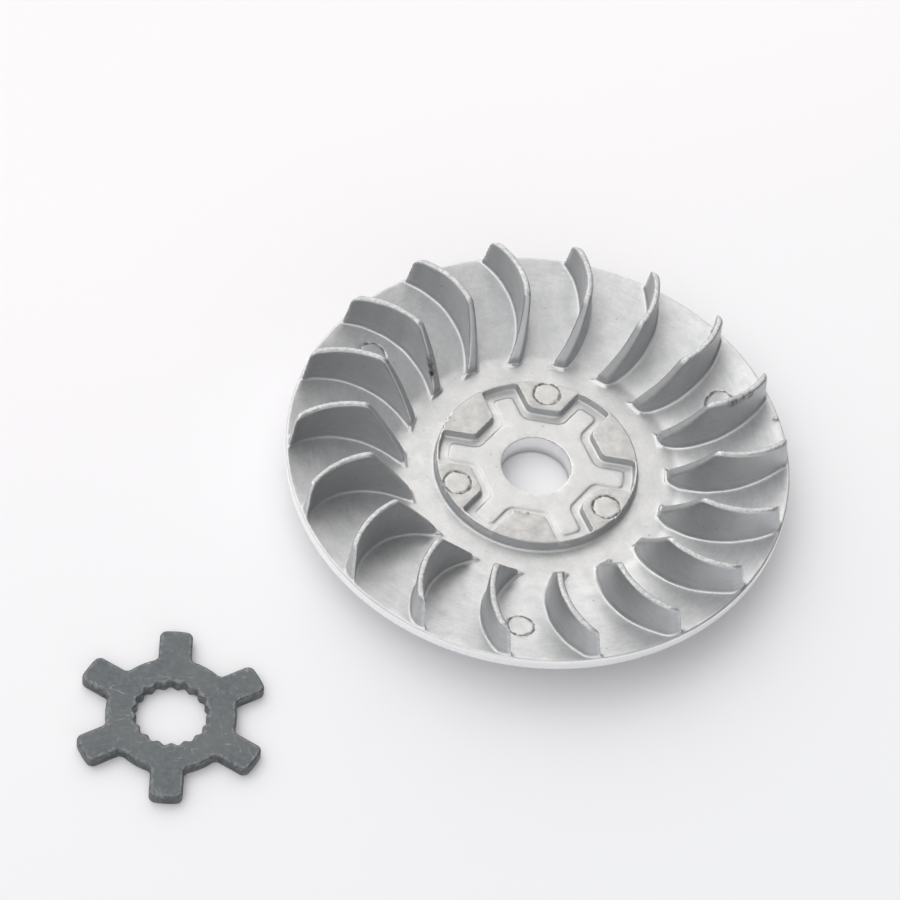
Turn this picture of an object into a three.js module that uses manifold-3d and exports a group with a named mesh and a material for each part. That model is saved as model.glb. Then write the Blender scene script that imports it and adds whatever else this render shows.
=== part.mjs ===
// Die-cast fan wheel of a small scooter engine, with the claw washer that keys it to the crankshaft.
// Units are millimetres, +Z is up. The kit lies on a bench: the wheel rests on its hub face, and the
// washer lies flat beside it. The origin is on the bench, under the middle of the whole kit.
import * as THREE from 'three';
import { mergeVertices } from 'three/addons/utils/BufferGeometryUtils.js';
import Module from 'manifold-3d';

const wasm = await Module();
wasm.setup();

// ---- wheel plate, turned section ----
const RIM_RADIUS = 54;
const RIM_TOP = 10.75;
const RIM_BOTTOM = 7.6;
const RIM_EDGE = 0.45;            // broken edges of the rim band
const FLANK_START_RADIUS = 30.5;  // where the flat web turns into the conical one
const WEB_TOP = 4.4;
const BELT_FACE_START_RADIUS = 24.7; // edge of the flat hub seat under the wheel

// ---- hub boss, crankshaft bore and claw pocket ----
const BOSS_RADIUS = 21.76;
const BOSS_TOP = 7.2;
const BORE_RADIUS = 7.5;
const CLAWS = 6;
const POCKET_FLOOR = 5.2;
const POCKET_ARM_HALF_WIDTH = 4.05;
const POCKET_END_RADIUS = 21;
const POCKET_WEB_DISTANCE = 14;   // from the axis to the inner face of an island
const POCKET_PHASE = -0.5;        // degrees
const PAD_TOP = 5.55;             // star-shaped seat the washer is clamped against
const PAD_ARM_HALF_WIDTH = 2.25;
const PAD_END_RADIUS = 18.9;
const PAD_WEB_DISTANCE = 12;

// ---- round ejector marks left in the casting ----
const MARK_RADIUS = 2.9;
const MARK_COUNT = 3;
const ISLAND_MARK_RADIUS = 18.47;
const ISLAND_MARK_PHASE = 89.5;
const ISLAND_MARK_DEPTH = 0.25;
const WEB_MARK_RADIUS = 43.84;
const WEB_MARK_PHASE = 271.6;
const WEB_MARK_TOP = 8.3;

// ---- fan vanes ----
const VANES = 18;
const VANE_PHASE = 8.8;           // degrees, direction of the first vane's outer tip
const VANE_CENTRE = [40.1, 14.15]; // centre of the vane's arc, for a tip that points along +X
const VANE_ARC_RADIUS = 19.4;
const VANE_ROOT_HALF = 1.35;      // half thickness at the web
const VANE_CREST_HALF = 0.7;      // half thickness at the crest
const VANE_CREST_SHIFT = -0.25;   // the crest leans towards the hollow side
const VANE_INNER_RADIUS = 28.4;
const VANE_INNER_TOP = 6.2;
const VANE_KINK_RADIUS = 37.1;
const VANE_KINK_TOP = 18.55;
const VANE_OUTER_RADIUS = 53.55;
const VANE_CREST_RADIUS = 52.4;
const VANE_CREST_TOP = 18.4;
const VANE_CORNER = 1.2;

// ---- claw washer ----
const WASHER_THICKNESS = 2.5;
const WASHER_RING_RADIUS = 13.3;
const WASHER_TIP_RADIUS = 20.1;
const WASHER_ARM_HALF_WIDTH = 3.4;
const WASHER_CORNER = 1.3;
const WASHER_ROOT_CORNER = 0.7;
const SPLINE_TEETH = 17;
const SPLINE_MEAN_RADIUS = 7.33;
const SPLINE_HALF_DEPTH = 0.3;
const SPLINE_STEPS = 6;           // outline points to each tooth

// ---- where the washer lies beside the wheel, seen from the wheel's axis ----
const WASHER_DISTANCE = 99.6;
const WASHER_DIRECTION = 228.5;   // degrees
const WASHER_TURN = 36.5;         // degrees, direction of its first claw

const TURN_STEPS = 96;            // facets round a full turn
const rad = THREE.MathUtils.degToRad;

const castAluminium = new THREE.MeshStandardMaterial({ color: 0xcfcdca, roughness: 0.48, metalness: 0.85 });
const phosphatedSteel = new THREE.MeshStandardMaterial({ color: 0x5e6364, roughness: 0.55, metalness: 0.7 });

// ---- joining and cutting ----
function toSolid(geometry) {
  const bare = geometry.clone();
  bare.deleteAttribute('normal');
  bare.deleteAttribute('uv');
  const merged = mergeVertices(bare, 1e-4);
  return new wasm.Manifold(new wasm.Mesh({
    numProp: 3,
    vertProperties: new Float32Array(merged.attributes.position.array),
    triVerts: new Uint32Array(merged.index.array),
  }));
}

function toGeometry(solid) {
  const mesh = solid.getMesh();
  const geometry = new THREE.BufferGeometry();
  geometry.setAttribute('position', new THREE.BufferAttribute(new Float32Array(mesh.vertProperties), 3));
  geometry.setIndex(new THREE.BufferAttribute(new Uint32Array(mesh.triVerts), 1));
  geometry.computeVertexNormals();
  return geometry;
}

function joinAll(solids) {
  return solids.reduce((whole, solid) => whole.add(solid));
}

// ---- basic shapes ----
// A solid of revolution about Z from [radius, height] points, counter-clockwise in the r-z plane.
function turned(points) {
  const profile = points.map(([radius, height]) => new THREE.Vector2(radius, height));
  return toSolid(new THREE.LatheGeometry(profile, TURN_STEPS).rotateX(Math.PI / 2));
}

// A prism between two heights over a closed plan outline.
function prism(outline, bottom, top) {
  const geometry = new THREE.ExtrudeGeometry(outline, { depth: top - bottom, bevelEnabled: false, curveSegments: 5 });
  return toSolid(geometry.translate(0, 0, bottom));
}

function disc(radius, bottom, top, x = 0, y = 0, steps = 28) {
  const geometry = new THREE.CylinderGeometry(radius, radius, top - bottom, steps).rotateX(Math.PI / 2);
  return toSolid(geometry.translate(x, y, (top + bottom) / 2));
}

function polar(radius, degrees) {
  return new THREE.Vector2(radius * Math.cos(rad(degrees)), radius * Math.sin(rad(degrees)));
}

function aroundAxis(count, phase, place) {
  return Array.from({ length: count }, (unused, i) => place(phase + (i * 360) / count));
}

// Six-armed star outline: parallel-sided arms with rounded ends, joined by flat webs.
function starOutline(armHalfWidth, endRadius, webDistance) {
  const outline = new THREE.Shape();
  const halfAngle = THREE.MathUtils.radToDeg(Math.asin(armHalfWidth / endRadius));
  const webRun = webDistance / Math.cos(rad(180 / CLAWS)) - armHalfWidth * Math.tan(rad(180 / CLAWS));
  for (let claw = 0; claw < CLAWS; claw += 1) {
    const direction = POCKET_PHASE + (claw * 360) / CLAWS;
    const from = rad(direction - halfAngle);
    const to = rad(direction + halfAngle);
    outline.absarc(0, 0, endRadius, from, to, false);
    for (const side of [1, -1]) {
      const arm = side > 0 ? direction : direction + 360 / CLAWS;
      const corner = new THREE.Vector2(webRun, side * armHalfWidth).rotateAround(new THREE.Vector2(), rad(arm));
      outline.lineTo(corner.x, corner.y);
    }
  }
  return outline;
}

// ---- fan wheel ----
function wheelPlate() {
  return turned([
    [0, 0],
    [BELT_FACE_START_RADIUS, 0],
    [RIM_RADIUS - RIM_EDGE, RIM_BOTTOM - RIM_EDGE / 2],
    [RIM_RADIUS, RIM_BOTTOM + RIM_EDGE],
    [RIM_RADIUS, RIM_TOP - RIM_EDGE],
    [RIM_RADIUS - RIM_EDGE, RIM_TOP],
    [FLANK_START_RADIUS, WEB_TOP],
    [BOSS_RADIUS, WEB_TOP],
    [BOSS_RADIUS, BOSS_TOP],
    [0, BOSS_TOP],
  ]);
}

// Height of the middle of the conical web at a radius: the vanes are rooted there.
function midWeb(radius) {
  const share = (radius - FLANK_START_RADIUS) / (RIM_RADIUS - FLANK_START_RADIUS);
  return WEB_TOP - 1.4 + share * (RIM_TOP - WEB_TOP);
}

// Ring in which every vane must lie. Its upper side is the crest line of the vanes.
function vaneEnvelope() {
  const corner = [0, 1, 2, 3].map((step) => {
    const angle = rad(step * 30);
    return [
      VANE_CREST_RADIUS - VANE_CORNER * (1 - Math.cos(angle)),
      VANE_CREST_TOP - VANE_CORNER * (1 - Math.sin(angle)),
    ];
  });
  const section = [
    [VANE_INNER_RADIUS, midWeb(VANE_INNER_RADIUS)],
    [VANE_OUTER_RADIUS, midWeb(VANE_OUTER_RADIUS)],
    [VANE_OUTER_RADIUS, RIM_TOP - RIM_EDGE],
    ...corner,
    [VANE_KINK_RADIUS, VANE_KINK_TOP],
    [VANE_INNER_RADIUS, VANE_INNER_TOP],
  ];
  return turned([...section, section[0]]);
}

// One upright blade, curved in plan and thinner at its crest than at its root.
function vaneBlade() {
  const [x, y] = VANE_CENTRE;
  const from = rad(185);
  const to = rad(325);
  const outline = new THREE.Shape();
  outline.absarc(x, y, VANE_ARC_RADIUS + VANE_ROOT_HALF, from, to, false);
  outline.absarc(x, y, VANE_ARC_RADIUS - VANE_ROOT_HALF, to, from, true);
  const bottom = midWeb(VANE_INNER_RADIUS) - 1;
  const height = VANE_KINK_TOP + 1 - bottom;
  const blade = new THREE.ExtrudeGeometry(outline, { depth: height, bevelEnabled: false, curveSegments: 16 });
  const points = blade.attributes.position;
  for (let i = 0; i < points.count; i += 1) {
    const rise = points.getZ(i) / height;
    const radius = Math.hypot(points.getX(i) - x, points.getY(i) - y);
    const side = Math.sign(radius - VANE_ARC_RADIUS);
    const half = THREE.MathUtils.lerp(VANE_ROOT_HALF, VANE_CREST_HALF, rise);
    const drafted = (VANE_ARC_RADIUS + side * half + VANE_CREST_SHIFT * rise) / radius;
    points.setX(i, x + (points.getX(i) - x) * drafted);
    points.setY(i, y + (points.getY(i) - y) * drafted);
  }
  return blade.translate(0, 0, bottom);
}

function fanWheel() {
  const blade = vaneBlade();
  const blades = aroundAxis(VANES, VANE_PHASE, (degrees) => toSolid(blade.clone().rotateZ(rad(degrees))));
  const webMarks = aroundAxis(MARK_COUNT, WEB_MARK_PHASE, (degrees) => {
    const at = polar(WEB_MARK_RADIUS, degrees);
    return disc(MARK_RADIUS, midWeb(WEB_MARK_RADIUS), WEB_MARK_TOP, at.x, at.y);
  });
  const islandMarks = aroundAxis(MARK_COUNT, ISLAND_MARK_PHASE, (degrees) => {
    const at = polar(ISLAND_MARK_RADIUS, degrees);
    return disc(MARK_RADIUS, BOSS_TOP - ISLAND_MARK_DEPTH, BOSS_TOP + 1, at.x, at.y);
  });
  const pocket = prism(
    starOutline(POCKET_ARM_HALF_WIDTH, POCKET_END_RADIUS, POCKET_WEB_DISTANCE),
    POCKET_FLOOR,
    BOSS_TOP + 1,
  );
  const pad = prism(starOutline(PAD_ARM_HALF_WIDTH, PAD_END_RADIUS, PAD_WEB_DISTANCE), WEB_TOP / 2, PAD_TOP);
  const bore = disc(BORE_RADIUS, -1, BOSS_TOP + 1, 0, 0, TURN_STEPS / 2);
  const fan = joinAll(blades).intersect(vaneEnvelope());
  const casting = wheelPlate().subtract(pocket).add(pad).add(fan);
  return joinAll([casting, ...webMarks]).subtract(joinAll(islandMarks)).subtract(bore);
}

// ---- claw washer ----
function clawWasher() {
  const outline = new THREE.Shape();
  const tip = WASHER_TIP_RADIUS;
  const side = WASHER_ARM_HALF_WIDTH;
  const root = Math.sqrt(WASHER_RING_RADIUS ** 2 - side ** 2);
  const rootAngle = Math.asin((side + WASHER_ROOT_CORNER) / WASHER_RING_RADIUS);
  for (let claw = 0; claw < CLAWS; claw += 1) {
    const turn = (claw * 2 * Math.PI) / CLAWS;
    const at = (x, y) => new THREE.Vector2(x, y).rotateAround(new THREE.Vector2(), turn);
    const corners = [
      [at(root + WASHER_ROOT_CORNER, -side), at(root, -side)],
      [at(tip - WASHER_CORNER, -side)],
      [at(tip - WASHER_CORNER / 8, -side + WASHER_CORNER), at(tip, -side)],
      [at(tip, 0)],
      [at(tip - WASHER_CORNER / 8, side - WASHER_CORNER)],
      [at(tip - WASHER_CORNER, side), at(tip, side)],
      [at(root + WASHER_ROOT_CORNER, side)],
      [at(...polar(WASHER_RING_RADIUS, THREE.MathUtils.radToDeg(rootAngle))), at(root, side)],
    ];
    if (claw === 0) {
      outline.moveTo(...at(...polar(WASHER_RING_RADIUS, -THREE.MathUtils.radToDeg(rootAngle))));
    } else {
      outline.absarc(0, 0, WASHER_RING_RADIUS, turn - Math.PI / 3 + rootAngle, turn - rootAngle, false);
    }
    for (const [point, control] of corners) {
      if (control) {
        outline.quadraticCurveTo(control.x, control.y, point.x, point.y);
      } else {
        outline.lineTo(point.x, point.y);
      }
    }
  }
  outline.absarc(0, 0, WASHER_RING_RADIUS, -Math.PI / 3 + rootAngle, -rootAngle, false);
  const bore = new THREE.Path();
  const steps = SPLINE_TEETH * SPLINE_STEPS;
  for (let step = 0; step < steps; step += 1) {
    const angle = (step * 2 * Math.PI) / steps;
    const radius = SPLINE_MEAN_RADIUS + SPLINE_HALF_DEPTH * Math.cos(SPLINE_TEETH * angle);
    if (step === 0) {
      bore.moveTo(radius, 0);
    } else {
      bore.lineTo(radius * Math.cos(angle), radius * Math.sin(angle));
    }
  }
  bore.closePath();
  outline.holes.push(bore);
  return prism(outline, 0, WASHER_THICKNESS);
}

// ---- the kit on the bench ----
const fanWheelMesh = new THREE.Mesh(toGeometry(fanWheel()), castAluminium);
fanWheelMesh.name = 'fan_wheel';

const clawWasherMesh = new THREE.Mesh(toGeometry(clawWasher()), phosphatedSteel);
clawWasherMesh.name = 'claw_washer';
const washerCentre = polar(WASHER_DISTANCE, WASHER_DIRECTION);
clawWasherMesh.position.set(washerCentre.x, washerCentre.y, 0);
clawWasherMesh.rotation.z = rad(WASHER_TURN);

const kit = new THREE.Group();
kit.add(fanWheelMesh, clawWasherMesh);
const footprint = new THREE.Box3().setFromObject(kit, true);
kit.position.x = -(footprint.min.x + footprint.max.x) / 2;
kit.position.y = -(footprint.min.y + footprint.max.y) / 2;
kit.updateMatrixWorld(true);

export default kit;
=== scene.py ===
"""Die-cast fan wheel of a small scooter engine and its loose claw washer, on a pale bench.

Both pieces are modelled as distance fields, in millimetres round their own axes, so that every
edge and fillet has a real radius. Each field is meshed and placed where the CAD frame has the part.
"""
import math
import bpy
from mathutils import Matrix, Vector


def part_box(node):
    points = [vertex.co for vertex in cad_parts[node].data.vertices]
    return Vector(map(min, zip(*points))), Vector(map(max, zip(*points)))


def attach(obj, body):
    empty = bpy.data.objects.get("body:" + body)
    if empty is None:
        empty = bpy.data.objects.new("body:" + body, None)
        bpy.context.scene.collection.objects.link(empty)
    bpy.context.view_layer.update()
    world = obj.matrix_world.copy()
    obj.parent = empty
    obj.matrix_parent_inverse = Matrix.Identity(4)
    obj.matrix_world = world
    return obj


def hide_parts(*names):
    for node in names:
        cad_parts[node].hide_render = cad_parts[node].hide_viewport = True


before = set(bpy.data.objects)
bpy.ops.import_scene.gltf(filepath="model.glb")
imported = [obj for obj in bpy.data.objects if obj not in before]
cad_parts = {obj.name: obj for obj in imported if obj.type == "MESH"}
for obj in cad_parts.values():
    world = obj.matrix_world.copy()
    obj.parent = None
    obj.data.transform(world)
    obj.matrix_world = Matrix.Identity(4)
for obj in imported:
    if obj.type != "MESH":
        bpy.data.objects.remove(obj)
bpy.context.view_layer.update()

from concurrent.futures import ThreadPoolExecutor
from functools import reduce
from types import SimpleNamespace

import bpy
import numpy as np
import openvdb
from mathutils import Matrix, Vector

MM = 0.001

# ---- wheel plate, mm ----
RIM_RADIUS = 54.0
RIM_TOP = 10.75
RIM_BOTTOM = 7.6
RIM_EDGE = 0.5
PLATE_EDGE = 0.1
FLANK_START_RADIUS = 30.5  # where the flat web turns into the cone
FLANK_BLEND = 1.4
WEB_TOP = 4.4
BELT_FACE_START_RADIUS = 24.7
BELT_FACE_BLEND = 0.6
FLANK_RISE = (RIM_TOP - WEB_TOP) / (RIM_RADIUS - FLANK_START_RADIUS)
BELT_FACE_RISE = RIM_BOTTOM / (RIM_RADIUS - BELT_FACE_START_RADIUS)

# ---- hub, mm and degrees ----
BOSS_RADIUS = 21.76
BOSS_TOP = 7.2
BOSS_EDGE = 0.3
BOSS_ROOT = 0.55
BOSS_DRAFT = 0.03
BORE_RADIUS = 7.5
BORE_EDGE = 0.12
BORE_CHAMFER = 0.3
HUB_START = 1.0  # height, inside the plate, where the boss and the pad begin
CLAWS = 6
POCKET_PHASE = -0.5
POCKET_FLOOR = 5.27
POCKET_FLOOR_FILLET = 0.45
POCKET_EDGE = 0.22
POCKET_DRAFT = 0.04
PAD_TOP = 5.51
PAD_EDGE = 0.15
PAD_FILLET = 0.12
POCKET_STAR = {
    "arm_half": 4.05, "end_radius": 21.0, "web_distance": 14.0, "web_corner": 0.9, "end_corner": 0.5}
PAD_STAR = {
    "arm_half": 2.25, "end_radius": 18.9, "web_distance": 12.0, "web_corner": 1.2, "end_corner": 0.9}

# ---- vanes, mm and degrees; the plan is given for a vane whose outer tip points along +X ----
VANES = 18
VANE_PHASE = 8.8
VANE_REACH_BACK = 14.2  # how far a vane's sector reaches back round the axis from its tip
VANE_START_RADIUS = 28.4
VANE_CENTRE = (40.1, 14.15)  # of the arc that the vane follows
VANE_ARC_RADIUS = 19.4
VANE_ROOT_HALF = 1.15
VANE_CREST_HALF = 0.74
VANE_CREST_LEAN = 0.25
VANE_CREST_EDGE = 0.5
VANE_BACK_EDGE = 0.15
VANE_NOSE = 1.1
VANE_FOOT_CORNER = 0.4
VANE_KINK_CORNER = 0.9
VANE_TIP_CORNER = 1.3
VANE_ROOT_FILLET = 0.6
VANE_DEPTH_IN_WEB = 1.5
VANE_SIDE_LINE = [  # crest line from the inner end to the rim, as radius and height
    (VANE_START_RADIUS, 2.0),
    (VANE_START_RADIUS, 6.2),
    (37.1, 18.55),
    (52.4, 18.4),
    (53.5, 10.3),
]
VANE_TOP = VANE_SIDE_LINE[2][1]
MOULD_LINE_HEIGHT = 1.9  # of the faint line along the vane sides, over the cone

# ---- low ledge at the inner foot of each vane, mm ----
LEDGE_MARGIN = 0.2
LEDGE_HALF_LENGTH = 0.3
LEDGE_LENGTH_RIPPLE = 0.2
LEDGE_HEIGHT = 0.3
LEDGE_HEIGHT_RIPPLE = 0.15
LEDGE_CORNER = 0.25
LEDGE_EDGE = 0.12
LEDGE_FILLET = 0.2

# ---- ejector marks, mm and degrees ----
MARK_RADIUS = 2.9
MARKS_PER_RING = 3
ISLAND_MARKS = (18.47, 89.5)  # radius and direction of a ring of marks
WEB_MARKS = (43.84, 271.6)
ISLAND_MARK_STEP = -0.1
WEB_MARK_STEP = 0.06
MARK_STEP_WIDTH = 0.25
MARK_RIPPLE = 0.02
MARK_GROOVE_WIDTH = 0.22
MARK_GROOVE_DEPTH = 0.4

# ---- stains on the wheel: radius, direction in degrees, height, size, strength ----
SOOT_STAINS = [
    (31.5, 145.1, 12.4, 2.3, 1.0),
    (31.0, 145.5, 11.0, 2.1, 1.0),
    (30.5, 146.0, 9.4, 1.7, 1.0),
    (42.6, 21.2, 18.2, 2.1, 0.7),
    (44.6, 22.0, 18.2, 1.6, 0.6),
    (46.8, 23.0, 18.0, 1.4, 0.7),
    (53.2, 20.5, 10.6, 1.1, 0.9),
]

# ---- burrs left on edges of the boss: both ends in plan, height ----
BURRS = [
    ((-3.7, -14.3), (-0.4, -14.25), 7.15),
    ((-21.0, 5.6), (-19.6, 9.3), 7.1),
]
BURR_RADIUS = 0.24
BURR_RIPPLE = 0.07
BURR_WANDER = 0.08

# ---- how far the cast and stamped faces stray from true, mm ----
VANE_RIPPLE = 0.03
WEB_RIPPLE = 0.02
BOSS_RIPPLE = 0.012
PAD_RIPPLE = 0.01
WASHER_RIPPLE = 0.01

# ---- claw washer, mm and degrees ----
WASHER_THICKNESS = 2.5
WASHER_RING_RADIUS = 13.3
WASHER_TIP_RADIUS = 20.1
WASHER_ARM_HALF_WIDTH = 3.4
WASHER_CORNER = 1.3
WASHER_ROOT_FILLET = 0.9
WASHER_UPPER_EDGE = 0.45
WASHER_LOWER_EDGE = 0.25
WASHER_TURN = 36.5
SPLINE_TEETH = 17
SPLINE_MEAN_RADIUS = 7.33
SPLINE_HALF_DEPTH = 0.3
SPLINE_EDGE = 0.2
SPLINE_SLOPE = 0.85  # turns a radial gap into a rough distance on the slanting tooth flanks

# ---- meshing: grid step in mm and the share of triangles kept; how far wear is looked for, mm ----
WHEEL_MESH = (0.25, 0.165)
WASHER_MESH = (0.15, 0.35)
WHEEL_WEAR_REACH = 0.5
WASHER_WEAR_REACH = 0.8
SHARP_ANGLE = 40.0
SLICES_AT_ONCE = 16

# ---- colours of the wheel, as linear red, green and blue ----
CASTING_COOL = (0.608, 0.607, 0.606)
CASTING_WARM = (0.628, 0.624, 0.617)
# painted light: flat faces of the casting get a warmer, slightly darker grey than its slopes
FLAT_FACE_PAINTED_TINT = (0.598, 0.590, 0.577)
CLOUD_GREY = (0.500, 0.515, 0.530)
MOTTLE_PALE = (0.74, 0.74, 0.73)
SANDY_GREY = (0.48, 0.49, 0.50)
PATCH_GREY = (0.47, 0.485, 0.50)
STREAK_GREY = (0.46, 0.475, 0.49)
HUB_GREY = (0.52, 0.515, 0.505)
ISLAND_PALE = (0.515, 0.505, 0.490)
ISLAND_DARK = (0.385, 0.380, 0.370)
# painted shade: upright faces are darker and bluer than the flats; the two ends are mottled by flow lines
UPRIGHT_SHADE_PALE = (0.510, 0.519, 0.530)
UPRIGHT_SHADE_DARK = (0.452, 0.463, 0.478)
# painted highlight along the fillets at the vane roots
ROOT_PAINTED_HIGHLIGHT = (0.86, 0.86, 0.85)
MOULD_LINE_PALE = (0.70, 0.70, 0.70)
DIRT_BROWN = (0.25, 0.235, 0.22)
DISC_GREY = (0.62, 0.615, 0.60)
# soot and painted shade, for the hollows of the hub and the grooves of the ejector marks
SOOT_AND_SHADE_BLACK = (0.12, 0.115, 0.11)
RUBBED_CASTING = (0.76, 0.755, 0.74)
TORN_GREY = (0.34, 0.345, 0.345)
TURNED_BRIGHT = (0.95, 0.95, 0.955)
# painted shade at the foot of the bore
BORE_FOOT_SHADE_GREY = (0.32, 0.325, 0.335)
STAIN_BROWN = (0.080, 0.064, 0.045)

# ---- colours of the washer and bench, as linear red, green and blue ----
PHOSPHATE_DARK = (0.092, 0.104, 0.113)
PHOSPHATE_PALE = (0.130, 0.140, 0.143)
PHOSPHATE_MOTTLE = (0.165, 0.172, 0.170)
RUBBED_STEEL = (0.30, 0.305, 0.30)
BARE_STEEL = (0.42, 0.42, 0.40)
# painted light: the card brightens from the near side to the far left
CARD_PAINTED_DIM = (0.820, 0.828, 0.844)
CARD_PAINTED_BRIGHT = (0.918, 0.900, 0.910)

# ---- camera and light; the camera looks along +Y and down, and is tipped a little ----
CAMERA_DISTANCE = 772.0
CAMERA_ELEVATION = 52.27
CAMERA_ROLL = 9.0
CAMERA_SHIFT = (17.92, -6.586)
CAMERA_LENS = 143.53
BENCH_HALF = 3.0  # metres
LIGHT_FALLOFF = 6.0
SOFT_LIGHTS = [  # elevation and direction in degrees, strength, colour
    (50, 128, 2.0, (1.0, 0.99, 0.98)),
    (55, 240, 1.35, (0.995, 1.0, 1.01)),
    (20, 86, 1.25, (1.0, 0.995, 1.0)),
    (18, 175, 0.62, (1.0, 1.0, 1.0)),
    (18, 300, 1.2, (1.0, 1.0, 1.01)),
]


# ---------------------------------------------------------------- distance fields
def round_join(a, b, radius):
    """Union of two fields with a fillet of this radius between them."""
    near_a = np.maximum(radius - a, 0)
    near_b = np.maximum(radius - b, 0)
    return np.maximum(np.minimum(a, b), radius) - np.hypot(near_a, near_b)


def round_meet(a, b, radius):
    """Intersection of two fields, with the edge between them rounded."""
    return -round_join(-a, -b, radius)


def soft_ramp(value, width):
    """max(value, 0) with a smooth bend of this width."""
    bend = np.clip(value / width + 0.5, 0, 1)
    return np.where(value > width / 2, value, width * bend * bend / 2)


def folded(angle, count, phase):
    """Angle from the middle of the nearest of count equal sectors, in degrees."""
    step = 360.0 / count
    return (angle - phase + step / 2) % step - step / 2


def ripples(x, y, size, seed):
    """Smooth noise of about unit height: a sum of plane waves with this typical length in mm."""
    draw = np.random.default_rng(seed)
    total = 0
    for _ in range(12):
        heading = draw.uniform(0, 2 * math.pi)
        length = size * draw.uniform(0.6, 1.8)
        shift = draw.uniform(0, 2 * math.pi)
        along = x * math.cos(heading) + y * math.sin(heading)
        total = total + np.cos(along * (2 * math.pi / length) + shift)
    return total / 3.5


def ring_points(radius, count, phase):
    """Points spaced evenly round a circle, the first of them in the direction of the phase."""
    for i in range(count):
        turn = math.radians(phase + 360.0 * i / count)
        yield radius * math.cos(turn), radius * math.sin(turn)


def star(radius, angle, arm_half, end_radius, web_distance, web_corner, end_corner):
    """Plan field of a six-armed star: parallel arms with round ends, joined by flat webs."""
    local = np.radians(folded(angle, CLAWS, POCKET_PHASE))
    along = radius * np.cos(local)
    across = np.abs(radius * np.sin(local))
    half_step = math.pi / CLAWS
    arm = across - arm_half
    web = along * math.cos(half_step) + across * math.sin(half_step) - web_distance
    return round_meet(round_join(arm, web, web_corner), radius - end_radius, end_corner)


def marked(height, x, y, radius, phase, step, seed):
    """A height map with round ejector marks: discs set off by a small step and a ragged groove."""
    for i, (cx, cy) in enumerate(ring_points(radius, MARKS_PER_RING, phase)):
        dx, dy = x - cx, y - cy
        away = np.hypot(dx, dy)
        turn = np.arctan2(dy, dx)
        # the groove deepens and fades several times on its way round
        ragged = 0.55 + 0.3 * np.cos(3 * turn + seed + i) + 0.25 * np.cos(7 * turn + 2.1 * i)
        ragged = ragged + 0.2 * np.cos(17 * turn + 1.3 * i)
        inside = np.clip((MARK_RADIUS - away) / MARK_STEP_WIDTH + 0.5, 0, 1)
        height = height + (step + MARK_RIPPLE * ripples(x, y, size=2.5, seed=seed + i)) * inside
        groove = np.exp(-(((away - MARK_RADIUS) / MARK_GROOVE_WIDTH) ** 2))
        height = height - MARK_GROOVE_DEPTH * np.clip(ragged, 0.15, 1.2) * groove
    return height


def vane_crest(radius, z):
    """Field below the crest line of the vanes, with its corners rounded; and its edge at the rim."""
    edges = []
    for (r0, z0), (r1, z1) in zip(VANE_SIDE_LINE[:-1], VANE_SIDE_LINE[1:]):
        length = math.hypot(r1 - r0, z1 - z0)
        edges.append(((z - z0) * (r1 - r0) - (radius - r0) * (z1 - z0)) / length)
    foot, slope, level, rim = edges
    crest = round_meet(slope, level, VANE_KINK_CORNER)
    crest = round_meet(crest, foot, VANE_FOOT_CORNER)
    return round_meet(crest, rim, VANE_TIP_CORNER), rim


def vane_field(radius, angle, z, web, waves):
    """The eighteen blades: arcs in plan, drafted, rounded at the crest line and rooted in the web."""
    local = np.radians((angle - VANE_PHASE + VANE_REACH_BACK) % (360 / VANES) - VANE_REACH_BACK)
    px = radius * np.cos(local) - VANE_CENTRE[0]
    py = radius * np.sin(local) - VANE_CENTRE[1]
    rise = np.clip((z - WEB_TOP) / (VANE_TOP - WEB_TOP), 0, 1)
    middle = VANE_ARC_RADIUS - VANE_CREST_LEAN * rise
    half = VANE_ROOT_HALF + (VANE_CREST_HALF - VANE_ROOT_HALF) * rise
    off_middle = np.hypot(px, py) - middle
    crest, rim_edge = vane_crest(radius, z)
    bowed_side = round_meet(off_middle - half, rim_edge, VANE_NOSE)
    sides = round_meet(bowed_side, -off_middle - half, VANE_BACK_EDGE) + VANE_RIPPLE * waves
    blade = round_meet(sides, crest, VANE_CREST_EDGE)

    off_start = np.abs(radius - VANE_START_RADIUS)
    ledge = round_meet(np.abs(off_middle) - half - LEDGE_MARGIN,
                       off_start - LEDGE_HALF_LENGTH - LEDGE_LENGTH_RIPPLE * waves, LEDGE_CORNER)
    ledge = round_meet(ledge, z - web - LEDGE_HEIGHT - LEDGE_HEIGHT_RIPPLE * waves, LEDGE_EDGE)
    return np.maximum(round_join(blade, ledge, LEDGE_FILLET), web - VANE_DEPTH_IN_WEB - z)


def burr_field(x, y, z, start, end, top):
    """A thin ragged lip of metal along one edge."""
    (x0, y0), (x1, y1) = start, end
    length = math.hypot(x1 - x0, y1 - y0)
    along = ((x - x0) * (x1 - x0) + (y - y0) * (y1 - y0)) / length
    across = ((x - x0) * (y1 - y0) - (y - y0) * (x1 - x0)) / length
    past_end = np.maximum(np.abs(along - length / 2) - length / 2, 0)
    off_line = np.hypot(across + BURR_WANDER * ripples(x, y, size=1.5, seed=31), past_end)
    return np.hypot(off_line, z - top) - BURR_RADIUS - BURR_RIPPLE * ripples(x, y, size=1.2, seed=23)


def plate_field(radius, z, web):
    """The dished plate from the hub to the rim, between the web and the belt face below it."""
    belt_face = BELT_FACE_RISE * soft_ramp(radius - BELT_FACE_START_RADIUS, BELT_FACE_BLEND)
    slope = math.cos(math.atan(FLANK_RISE))
    plate = round_meet((z - web) * slope, (belt_face - z) * slope, PLATE_EDGE)
    return round_meet(plate, radius - RIM_RADIUS, RIM_EDGE)


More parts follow.
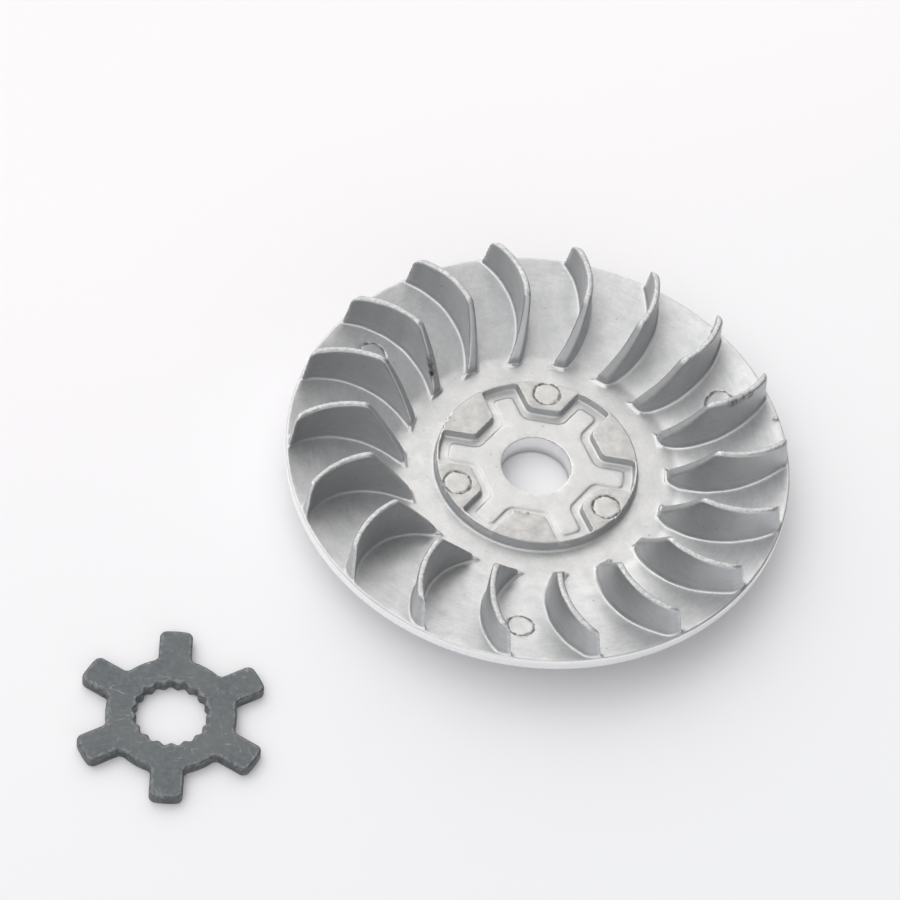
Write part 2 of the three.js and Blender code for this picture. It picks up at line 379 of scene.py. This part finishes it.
def fan_wheel_field(x, y, z):
    """The whole casting: plate, boss with its star-shaped pocket and pad, vanes and bore."""
    radius = np.hypot(x, y)
    angle = np.degrees(np.arctan2(y, x))
    waves = ripples(x, y, size=5.0, seed=11)

    web = WEB_TOP + FLANK_RISE * soft_ramp(radius - FLANK_START_RADIUS, FLANK_BLEND)
    web = marked(web, x, y, *WEB_MARKS, WEB_MARK_STEP, seed=3) + WEB_RIPPLE * waves
    boss_top = marked(0 * radius + BOSS_TOP, x, y, *ISLAND_MARKS, ISLAND_MARK_STEP, seed=7)
    boss_top = boss_top + BOSS_RIPPLE * waves
    boss = round_meet(radius - BOSS_RADIUS + BOSS_DRAFT * (z - WEB_TOP), z - boss_top, BOSS_EDGE)
    body = round_join(plate_field(radius, z, web), np.maximum(boss, HUB_START - z), BOSS_ROOT)

    pocket = star(radius, angle, **POCKET_STAR) - POCKET_DRAFT * (z - POCKET_FLOOR)
    pocket = round_meet(pocket, POCKET_FLOOR - z, POCKET_FLOOR_FILLET)
    body = round_meet(body, -pocket, POCKET_EDGE)
    pad = round_meet(star(radius, angle, **PAD_STAR), z - PAD_TOP - PAD_RIPPLE * waves, PAD_EDGE)
    body = round_join(body, np.maximum(pad, HUB_START - z), PAD_FILLET)
    for start, end, top in BURRS:
        body = np.minimum(body, burr_field(x, y, z, start, end, top))

    body = round_join(body, vane_field(radius, angle, z, web, waves), VANE_ROOT_FILLET)
    body = round_meet(body, BORE_RADIUS - radius, BORE_EDGE)
    return np.maximum(body, (BORE_RADIUS + BORE_CHAMFER - radius - z) * math.sqrt(0.5))


def claw_washer_field(x, y, z):
    """The stamped washer: a ring with six straight arms and a splined bore."""
    radius = np.hypot(x, y)
    angle = np.degrees(np.arctan2(y, x))
    local = np.radians(folded(angle, CLAWS, WASHER_TURN))
    along = radius * np.cos(local)
    across = np.abs(radius * np.sin(local))
    arm = round_meet(across - WASHER_ARM_HALF_WIDTH, radius - WASHER_TIP_RADIUS, WASHER_CORNER)
    arm = np.maximum(arm, -along)
    plan = round_join(radius - WASHER_RING_RADIUS, arm, WASHER_ROOT_FILLET)
    teeth = np.cos(np.radians(angle - WASHER_TURN) * SPLINE_TEETH)
    bore = SPLINE_MEAN_RADIUS + SPLINE_HALF_DEPTH * teeth - radius
    plan = round_meet(plan, bore * SPLINE_SLOPE, SPLINE_EDGE)
    lower = round_meet(plan, -z, WASHER_LOWER_EDGE)
    upper = z - WASHER_THICKNESS - WASHER_RIPPLE * ripples(x, y, size=4.0, seed=5)
    return round_meet(lower, upper, WASHER_UPPER_EDGE)


# ---------------------------------------------------------------- meshing
def sampled(field, low, counts, step):
    """The field's values on a grid, worked out a few slices at a time."""
    xs, ys, zs = (low[i] + step * np.arange(counts[i]) for i in range(3))
    values = np.empty(counts, np.float32)

    def fill(first):
        last = first + SLICES_AT_ONCE
        x = xs[first:last, None, None]
        values[first:last] = field(x, ys[None, :, None], zs[None, None, :])

    with ThreadPoolExecutor(4) as pool:
        list(pool.map(fill, range(0, counts[0], SLICES_AT_ONCE)))
    return values


def mesh_from_field(name, field, low, high, step, keep_share):
    """Samples a field on a grid, meshes its zero surface and thins the mesh where it is flat."""
    low = np.array(low, float) - 3.37 * step  # an odd share, so that no grid point lies on a face
    counts = np.ceil((np.array(high, float) + 3 * step - low) / step).astype(int) + 1
    values = sampled(field, low, counts, step)
    np.clip(values, -2 * step, 2 * step, out=values)
    grid = openvdb.FloatGrid(2 * step)
    grid.copyFromArray(values)
    points, quads = grid.convertToQuads()
    points = (points * step + low) * MM
    mesh = bpy.data.meshes.new(name)
    mesh.from_pydata(points, [], quads)
    mesh.update()
    piece = bpy.data.objects.new(name, mesh)
    bpy.context.scene.collection.objects.link(piece)
    if keep_share < 1:
        thin_out(piece, keep_share)
    piece.data.shade_smooth()
    piece.data.set_sharp_from_angle(angle=math.radians(SHARP_ANGLE))
    return piece


def thin_out(piece, keep_share):
    """Replaces the mesh by one with this share of its triangles."""
    full, name = piece.data, piece.data.name
    thin = piece.modifiers.new("thin", "DECIMATE")
    thin.ratio = keep_share
    thin.use_collapse_triangulate = True
    seen = piece.evaluated_get(bpy.context.evaluated_depsgraph_get())
    thinned = bpy.data.meshes.new_from_object(seen)
    piece.modifiers.clear()
    piece.data = thinned
    bpy.data.meshes.remove(full)
    thinned.name = name


def mark_edges(piece, field, reach):
    """Stores how hollow and how proud the surface is at each vertex, for grime and painted shade in
    hollows, and for wear.
    """
    mesh = piece.data
    count = len(mesh.vertices)
    points = np.empty(count * 3, np.float32)
    normals = np.empty(count * 3, np.float32)
    mesh.vertices.foreach_get("co", points)
    mesh.vertex_normals.foreach_get("vector", normals)
    points = points.reshape(-1, 3) / MM
    normals = normals.reshape(-1, 3)
    outside = field(*(points + normals * reach).T)
    inside = field(*(points - normals * reach).T)
    for name, values in (("hollow", 1 - outside / reach), ("proud", 1 + inside / reach)):
        layer = mesh.attributes.new(name, "FLOAT", "POINT")
        layer.data.foreach_set("value", np.clip(values, 0, 1).astype(np.float32))


def place(piece, node, body):
    """Moves a mesh modelled round its own axis to where the CAD frame has the node."""
    low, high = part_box(node)
    foot = ((low[0] + high[0]) / 2, (low[1] + high[1]) / 2, low[2])
    piece.data.transform(Matrix.Translation(foot))
    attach(piece, body)
    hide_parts(node)


# ---------------------------------------------------------------- the two pieces
def make_piece(name, field, radius, top, mesh_quality, wear_reach):
    """A piece meshed round its own axis, from a field of this radius and height."""
    step, keep_share = mesh_quality
    piece = mesh_from_field(name, field, (-radius, -radius, 0), (radius, radius, top), step, keep_share)
    mark_edges(piece, field, wear_reach)
    return piece


def make_fan_wheel():
    piece = make_piece("cast_fan_wheel", fan_wheel_field, RIM_RADIUS, VANE_TOP,
                       WHEEL_MESH, WHEEL_WEAR_REACH)
    place(piece, "fan_wheel", "wheel")
    return piece


def make_claw_washer():
    piece = make_piece("splined_claw_washer", claw_washer_field, WASHER_TIP_RADIUS,
                       WASHER_THICKNESS, WASHER_MESH, WASHER_WEAR_REACH)
    place(piece, "claw_washer", "washer")
    return piece


# ---------------------------------------------------------------- node trees
class Nodes:
    """Builds a node tree by short calls, each of which returns the socket that it made."""

    def __init__(self, tree):
        self.tree = tree

    def node(self, kind, inputs, output=0, **settings):
        made = self.tree.nodes.new(kind)
        for key, value in settings.items():
            setattr(made, key, value)
        for key, value in inputs.items():
            if isinstance(value, bpy.types.NodeSocket):
                self.tree.links.new(value, made.inputs[key])
            else:
                made.inputs[key].default_value = value
        return made.outputs[output]

    def math(self, operation, a, b=0.0):
        return self.node("ShaderNodeMath", {0: a, 1: b}, operation=operation)

    def add(self, a, b):
        return self.math("ADD", a, b)

    def less(self, a, b):
        return self.math("SUBTRACT", a, b)

    def either(self, *masks):
        """The greatest of several masks."""
        return reduce(lambda a, b: self.math("MAXIMUM", a, b), masks)

    def both(self, *masks):
        """The product of several masks."""
        return reduce(lambda a, b: self.math("MULTIPLY", a, b), masks)

    def vector(self, operation, a, b=None, output=0):
        inputs = {0: a} if b is None else {0: a, 1: b}
        return self.node("ShaderNodeVectorMath", inputs, output, operation=operation)

    def scaled(self, vector, factor):
        return self.node("ShaderNodeVectorMath", {0: vector, "Scale": factor}, operation="SCALE")


class Shader(Nodes):
    """A material with a principled surface, and the patterns that the materials here share."""

    def __init__(self, name, metallic):
        self.material = bpy.data.materials.new(name)
        self.material.use_nodes = True
        super().__init__(self.material.node_tree)
        self.surface = self.tree.nodes["Principled BSDF"]
        self.surface.inputs["Metallic"].default_value = metallic

    def finish(self, **sockets):
        for key, value in sockets.items():
            self.tree.links.new(value, self.surface.inputs[key.replace("_", " ").title()])
        return self.material

    def millimetres(self):
        """Object coordinates in millimetres."""
        return self.scaled(self.node("ShaderNodeTexCoord", {}, "Object"), 1 / MM)

    def attribute(self, name):
        return self.node("ShaderNodeAttribute", {}, "Fac", attribute_name=name)

    def steepness(self):
        """1 where the surface lies flat and 0 where it stands upright."""
        normal = self.node("ShaderNodeNewGeometry", {}, "Normal")
        return self.math("ABSOLUTE", self.node("ShaderNodeSeparateXYZ", {0: normal}, output=2))

    def noise(self, where, size, detail=3.0, roughness=0.55, distortion=0.0):
        """Noise from 0 to 1 whose largest features are about this many millimetres."""
        return self.node("ShaderNodeTexNoise", {
            "Vector": where, "Scale": 1 / size, "Detail": detail,
            "Roughness": roughness, "Distortion": distortion}, "Fac")

    def spread(self, value, low, high, to_low=0.0, to_high=1.0):
        """Maps low..high to to_low..to_high, and holds the ends."""
        return self.node("ShaderNodeMapRange", {
            "Value": value, "From Min": low, "From Max": high, "To Min": to_low, "To Max": to_high})

    def blend(self, share, a, b):
        """From a to b as the share goes from 0 to 1; each is a socket or red, green and blue."""
        a = (*a, 1.0) if isinstance(a, tuple) else a
        b = (*b, 1.0) if isinstance(b, tuple) else b
        return self.node("ShaderNodeMixRGB", {"Fac": share, "Color1": a, "Color2": b})

    def bump(self, height, depth, below=None):
        """Bump of this depth in millimetres, over the bump below it."""
        inputs = {"Height": height, "Distance": depth * MM, "Strength": 1.0}
        if below is not None:
            inputs["Normal"] = below
        return self.node("ShaderNodeBump", inputs)

    def specks(self, where, spacing, radius):
        """Mask for small round specks."""
        away = self.node("ShaderNodeTexVoronoi", {"Vector": where, "Scale": 1 / spacing}, "Distance")
        return self.spread(away, radius / spacing, 0.5 * radius / spacing)

    def scratches(self, where, heading, width, seed):
        """Mask for a few long, thin, slightly bent scratches that run along this heading in degrees."""
        turned = self.node("ShaderNodeVectorRotate", {"Vector": where, "Angle": math.radians(-heading)})
        stretched = self.vector("MULTIPLY", turned, (0.07, 0.45, 0.07))
        stretched = self.vector("ADD", stretched, (seed, 3.7 * seed, 0.0))
        bent = self.noise(stretched, size=1.0, detail=1, roughness=0.3)
        line = self.math("ABSOLUTE", self.less(bent, 0.5))
        kept = self.noise(self.vector("ADD", where, (seed, 0.0, 0.0)), size=3.5, detail=2)
        return self.both(self.spread(line, width, 0.3 * width), self.spread(kept, 0.54, 0.64))


# ---------------------------------------------------------------- materials
def wheel_masks(shader):
    """Where a point of the wheel is, how its surface stands there, and the noises that mottle it."""
    at = SimpleNamespace(where=shader.millimetres())
    at.here = shader.vector("SUBTRACT", at.where, tuple(wheel_axis() / MM))
    at.flat = shader.vector("MULTIPLY", at.here, (1.0, 1.0, 0.0))
    at.radius = shader.vector("LENGTH", at.flat, output=1)
    at.height = shader.node("ShaderNodeSeparateXYZ", {0: at.here}, output=2)
    at.level = shader.steepness()

    at.cloudy = shader.noise(at.where, size=5, detail=4, roughness=0.6, distortion=0.6)
    at.mottle = shader.noise(at.where, size=1.1, detail=4, roughness=0.6)
    at.blotches = shader.noise(at.where, size=2.6, detail=5, roughness=0.7, distortion=0.3)
    at.sandy = shader.spread(shader.noise(at.where, size=0.6, detail=3, roughness=0.7), 0.35, 0.65)
    at.ragged = shader.spread(shader.noise(at.where, size=0.7, detail=3, roughness=0.7), 0.42, 0.62)

    at.upright = shader.spread(at.level, 0.85, 0.5)
    at.web = shader.spread(at.level, 0.972, 0.985)
    at.island = shader.both(shader.spread(at.height, BOSS_TOP - 0.6, BOSS_TOP - 0.3),
                            shader.spread(at.radius, BOSS_RADIUS + 0.24, BOSS_RADIUS + 0.04))
    at.crest = shader.both(shader.spread(at.height, VANE_TOP - 1.25, VANE_TOP - 0.65),
                           shader.spread(at.level, 0.5, 0.8))
    rim = shader.both(shader.spread(at.radius, RIM_RADIUS - 0.5, RIM_RADIUS - 0.2),
                      shader.spread(at.height, RIM_TOP - 0.25, RIM_TOP - 0.45))
    at.bore = shader.both(shader.spread(at.radius, BORE_RADIUS + 0.4, BORE_RADIUS + 0.2),
                          shader.spread(at.height, PAD_TOP - 0.16, PAD_TOP - 0.31))
    at.turned = shader.either(rim, underside(shader, at), at.bore)
    return at


def above_cone(shader, at, start_radius, rise):
    """Height over a face that is level up to this radius and then climbs this much per millimetre."""
    out = shader.math("MAXIMUM", shader.less(at.radius, start_radius))
    return shader.less(at.height, shader.both(out, rise))


def underside(shader, at):
    """Mask for the turned belt face and hub face under the wheel."""
    return shader.spread(above_cone(shader, at, BELT_FACE_START_RADIUS, BELT_FACE_RISE), 0.5, 0.3)


def vane_roots(shader, at):
    """Masks for the painted highlight on the fillets where the vanes leave the cone, and for the mould
    line above them.
    """
    over = shader.less(above_cone(shader, at, FLANK_START_RADIUS, FLANK_RISE), WEB_TOP)
    fan = shader.spread(at.radius, VANE_START_RADIUS - 1.4, VANE_START_RADIUS - 0.9)
    root_highlight = shader.both(shader.spread(over, 0.75, 0.45), shader.spread(at.level, 0.92, 0.8),
                        shader.spread(at.level, 0.15, 0.4), fan)
    off_line = shader.math("ABSOLUTE", shader.less(over, MOULD_LINE_HEIGHT))
    line = shader.both(shader.spread(off_line, 0.16, 0.06), shader.spread(at.level, 0.45, 0.3),
                       shader.spread(at.cloudy, 0.4, 0.55), fan)
    return root_highlight, line


def ejector_marks(shader, at):
    """Masks for the dark ragged rings of the ejector marks, soot and painted shade in their grooves, and
    for the discs inside them.
    """
    nearest = None
    for ring in (ISLAND_MARKS, WEB_MARKS):
        for x, y in ring_points(ring[0], MARKS_PER_RING, ring[1]):
            away = shader.vector("DISTANCE", at.flat, (x, y, 0.0), output=1)
            nearest = away if nearest is None else shader.math("MINIMUM", nearest, away)
    off_ring = shader.math("ABSOLUTE", shader.less(nearest, MARK_RADIUS))
    wander = shader.spread(shader.noise(at.where, size=1.3, detail=3), 0.35, 0.65, -0.12, 0.22)
    rings = shader.spread(shader.add(off_ring, wander), 0.3, 0.1)
    return rings, shader.spread(nearest, MARK_RADIUS - 0.1, MARK_RADIUS - 0.3)


def soot_stains(shader, at):
    """Mask for the few sooty stains."""
    blots = []
    for radius, direction, height, size, strength in SOOT_STAINS:
        turn = math.radians(direction)
        centre = (radius * math.cos(turn), radius * math.sin(turn), height)
        away = shader.vector("DISTANCE", at.here, centre, output=1)
        blots.append(shader.spread(away, size, size * 0.3, 0.0, strength))
    patchy = shader.both(shader.spread(at.mottle, 0.36, 0.56), shader.spread(at.cloudy, 0.1, 0.3))
    return shader.both(shader.either(*blots), patchy)


def cast_skin(shader, at):
    """Colour of the raw casting: clouded, sandy, and streaked round the axis towards the rim."""
    broad = shader.noise(at.where, size=22, detail=2)
    colour = shader.blend(shader.spread(broad, 0.3, 0.7), CASTING_COOL, CASTING_WARM)
    # painted light: flat faces tinted warmer and a little darker than the slopes
    colour = shader.blend(shader.both(at.web, 0.8), colour, FLAT_FACE_PAINTED_TINT)
    colour = shader.blend(shader.spread(at.cloudy, 0.35, 0.75, 0.0, 0.42), colour, CLOUD_GREY)
    colour = shader.blend(shader.spread(at.mottle, 0.4, 0.7, 0.0, 0.4), colour, MOTTLE_PALE)
    colour = shader.blend(shader.both(at.sandy, 0.32), colour, SANDY_GREY)
    patches = shader.spread(at.blotches, 0.5, 0.62, 0.0, 0.35)
    off_hub = shader.spread(at.radius, 27, 33)
    colour = shader.blend(shader.both(patches, off_hub), colour, PATCH_GREY)

    around = shader.vector("MULTIPLY", shader.vector("NORMALIZE", at.flat), (9.0, 9.0, 0.0))
    outward = shader.node("ShaderNodeCombineXYZ", {2: shader.both(at.radius, 1.6)})
    streaks = shader.noise(shader.vector("ADD", around, outward), size=1.0, detail=4, roughness=0.6)
    streaks = shader.both(shader.spread(streaks, 0.48, 0.68), shader.spread(at.radius, 36, 50, 0.15, 0.45))
    return shader.blend(streaks, colour, STREAK_GREY)


def hub_and_vane_tones(shader, at, colour):
    """The darker hub, its blotched islands, and painted shade on the upright faces such as the vane sides,
    mottled by their flow lines.
    """
    on_hub = shader.spread(at.radius, BOSS_RADIUS + 0.44, BOSS_RADIUS + 0.04, 0.0, 0.25)
    colour = shader.blend(on_hub, colour, HUB_GREY)
    island = shader.blend(shader.spread(at.blotches, 0.38, 0.62), ISLAND_PALE, ISLAND_DARK)
    colour = shader.blend(shader.both(at.island, 0.8), colour, island)
    layered = shader.vector("MULTIPLY", at.where, (0.4, 0.4, 1.2))
    flow = shader.noise(layered, size=1.0, detail=5, roughness=0.7)
    # painted shade: upright faces darker and bluer, varied by the flow lines
    upright_shade = shader.blend(shader.spread(flow, 0.4, 0.65), UPRIGHT_SHADE_PALE, UPRIGHT_SHADE_DARK)
    return shader.blend(shader.both(at.upright, 0.8), colour, upright_shade)


def cast_aluminium():
    """Die-cast surface: faintly clouded and grained, sooty with painted shade in corners, bright where it
    is turned; flat faces tinted with painted light, painted shade on upright faces and the foot of the
    bore, painted highlights on the vane roots.
    """
    shader = Shader("cast_aluminium", metallic=0.92)
    at = wheel_masks(shader)
    root_highlight, mould_line = vane_roots(shader, at)
    rings, discs = ejector_marks(shader, at)
    # grime and painted shade in the hollows of the hub
    corners = shader.both(shader.spread(shader.attribute("hollow"), 0.1, 0.4, 0.0, 0.35),
                          shader.spread(at.mottle, 0.3, 0.6),
                          shader.spread(at.radius, BOSS_RADIUS + 1.04, BOSS_RADIUS + 0.44))
    soot_and_shade = shader.either(corners, shader.both(rings, 0.7))
    rubbed = shader.both(shader.spread(shader.attribute("proud"), 0.12, 0.4, 0.0, 0.5),
                         shader.spread(at.mottle, 0.32, 0.62, 0.1, 1.0))
    torn = shader.both(at.crest, at.ragged)
    stain = soot_stains(shader, at)

    colour = hub_and_vane_tones(shader, at, cast_skin(shader, at))
    # painted highlight on the vane root fillets
    colour = shader.blend(shader.both(root_highlight, 0.45), colour, ROOT_PAINTED_HIGHLIGHT)
    colour = shader.blend(shader.both(mould_line, 0.3), colour, MOULD_LINE_PALE)
    dirt = shader.both(shader.specks(at.where, spacing=2.6, radius=0.27),
                       shader.spread(at.cloudy, 0.45, 0.6, 0.0, 0.6))
    colour = shader.blend(dirt, colour, DIRT_BROWN)
    colour = shader.blend(shader.both(discs, 0.35), colour, DISC_GREY)
    # soot and painted shade in hollows and ejector grooves
    colour = shader.blend(soot_and_shade, colour, SOOT_AND_SHADE_BLACK)
    colour = shader.blend(rubbed, colour, RUBBED_CASTING)
    colour = shader.blend(shader.both(torn, 0.65), colour, TORN_GREY)
    colour = shader.blend(at.turned, colour, TURNED_BRIGHT)
    # painted shade: the bore wall darkens towards its foot
    bore_foot_shade = shader.both(at.bore, shader.spread(at.height, 2.6, 0.5, 0.1, 0.7))
    colour = shader.blend(bore_foot_shade, colour, BORE_FOOT_SHADE_GREY)
    colour = shader.blend(stain, colour, STAIN_BROWN)

    roughness = shader.add(shader.spread(at.cloudy, 0.3, 0.7, 0.42, 0.52),
                           shader.spread(at.mottle, 0.3, 0.7, -0.03, 0.03))
    for mask, change in ((rubbed, -0.15), (root_highlight, -0.14), (soot_and_shade, 0.3), (at.turned, -0.15), (stain, 0.3)):
        roughness = shader.add(roughness, shader.both(mask, change))

    by_radius = shader.node("ShaderNodeCombineXYZ", {0: shader.both(at.radius, 3.0)})
    tool_rings = shader.both(shader.noise(by_radius, size=1.0, detail=3, roughness=0.6), at.turned)
    pits = shader.spread(shader.noise(at.where, size=0.9, detail=2, roughness=0.5), 0.74, 0.79)
    normal = shader.bump(at.mottle, depth=0.006)
    normal = shader.bump(at.sandy, 0.004, normal)
    normal = shader.bump(tool_rings, 0.012, normal)
    normal = shader.bump(shader.noise(at.where, size=0.3, detail=2, roughness=0.6), 0.002, normal)
    normal = shader.bump(shader.both(shader.either(pits, torn), -1.0), 0.03, normal)
    return shader.finish(base_color=colour, roughness=roughness, normal=normal)


def phosphated_steel():
    """Dark satin phosphate with rubbed edges, fine scratches and small pale knocks."""
    shader = Shader("phosphated_steel", metallic=0.7)
    where = shader.millimetres()
    cloudy = shader.noise(where, size=9, detail=1, roughness=0.4)
    mottle = shader.noise(where, size=1.2, detail=3, roughness=0.65)
    scratch = shader.either(shader.scratches(where, heading=14, width=0.010, seed=1.0),
                            shader.scratches(where, heading=-52, width=0.010, seed=5.0))
    speck = shader.both(shader.specks(where, spacing=3.0, radius=0.18), shader.spread(cloudy, 0.5, 0.6))
    bare = shader.either(shader.both(scratch, 0.33), shader.both(speck, 0.8))
    rubbed = shader.both(shader.spread(shader.attribute("proud"), 0.04, 0.13, 0.0, 0.35),
                         shader.spread(mottle, 0.42, 0.62, 0.05, 1.0))

    colour = shader.blend(shader.spread(cloudy, 0.3, 0.7), PHOSPHATE_DARK, PHOSPHATE_PALE)
    colour = shader.blend(shader.spread(mottle, 0.4, 0.7, 0.0, 0.5), colour, PHOSPHATE_MOTTLE)
    colour = shader.blend(rubbed, colour, RUBBED_STEEL)
    colour = shader.blend(bare, colour, BARE_STEEL)
    roughness = shader.less(shader.spread(cloudy, 0.3, 0.7, 0.45, 0.52), shader.both(bare, 0.1))
    normal = shader.bump(mottle, depth=0.001)
    normal = shader.bump(shader.both(bare, -1.0), 0.02, normal)
    return shader.finish(base_color=colour, roughness=roughness, normal=normal)


def bench_white():
    """Matt white card with painted light: a little brighter towards the far left."""
    shader = Shader("bench_white", metallic=0.0)
    away = shader.vector("DOT_PRODUCT", shader.millimetres(), (-0.7, 1.0, 0.0), output=1)
    colour = shader.blend(shader.spread(away, -130, 146), CARD_PAINTED_DIM, CARD_PAINTED_BRIGHT)
    shader.surface.inputs["Roughness"].default_value = 0.75
    shader.surface.inputs["Specular IOR Level"].default_value = 0.25
    return shader.finish(base_color=colour)


# ---------------------------------------------------------------- studio
def wheel_axis():
    """Where the wheel's axis meets the bench, in metres."""
    low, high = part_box("fan_wheel")
    return Vector(((low[0] + high[0]) / 2, (low[1] + high[1]) / 2, 0))


def add_camera():
    """A long lens, aimed a little off the wheel's axis."""
    tilt = math.radians(CAMERA_ELEVATION)
    roll = math.radians(CAMERA_ROLL)
    level_right = Vector((1, 0, 0))
    forward = Vector((0, math.cos(tilt), -math.sin(tilt)))
    level_up = Vector((0, math.sin(tilt), math.cos(tilt)))
    right = math.cos(roll) * level_right + math.sin(roll) * level_up
    up = math.cos(roll) * level_up - math.sin(roll) * level_right
    camera = bpy.data.objects.new("camera", bpy.data.cameras.new("camera"))
    bpy.context.scene.collection.objects.link(camera)
    offset = -forward * CAMERA_DISTANCE - right * CAMERA_SHIFT[0] - up * CAMERA_SHIFT[1]
    camera.matrix_world = Matrix.Translation(wheel_axis() + offset * MM) @ Matrix(
        (right, up, -forward)).transposed().to_4x4()
    camera.data.lens = CAMERA_LENS
    camera.data.sensor_width = 36
    camera.data.clip_start = 0.05
    bpy.context.scene.camera = camera


def add_bench():
    """A level white card under both pieces."""
    mesh = bpy.data.meshes.new("bench")
    half = BENCH_HALF
    corners = [(-half, -half, 0), (half, -half, 0), (half, half, 0), (-half, half, 0)]
    mesh.from_pydata(corners, [], [(0, 1, 2, 3)])
    bench = bpy.data.objects.new("bench", mesh)
    bpy.context.scene.collection.objects.link(bench)
    mesh.materials.append(bench_white())


def add_studio():
    """A white tent: five soft patches of light round the object."""
    add_bench()
    world = bpy.data.worlds.new("studio")
    world.use_nodes = True
    room = Nodes(world.node_tree)
    heading = room.node("ShaderNodeTexCoord", {}, "Generated")
    total = (0.0, 0.0, 0.0)
    for elevation, azimuth, strength, colour in SOFT_LIGHTS:
        rise, turn = math.radians(elevation), math.radians(azimuth)
        toward = (math.cos(rise) * math.cos(turn), math.cos(rise) * math.sin(turn), math.sin(rise))
        facing = room.vector("DOT_PRODUCT", heading, toward, output=1)
        power = room.add(room.both(facing, LIGHT_FALLOFF), math.log(strength) - LIGHT_FALLOFF)
        total = room.vector("ADD", total, room.scaled(colour, room.math("EXPONENT", power)))
    room.tree.links.new(total, room.tree.nodes["Background"].inputs["Color"])
    bpy.context.scene.world = world
    bpy.context.scene.view_settings.view_transform = "Standard"


wheel = make_fan_wheel()
wheel.data.materials.append(cast_aluminium())
washer = make_claw_washer()
washer.data.materials.append(phosphated_steel())
add_studio()
add_camera()
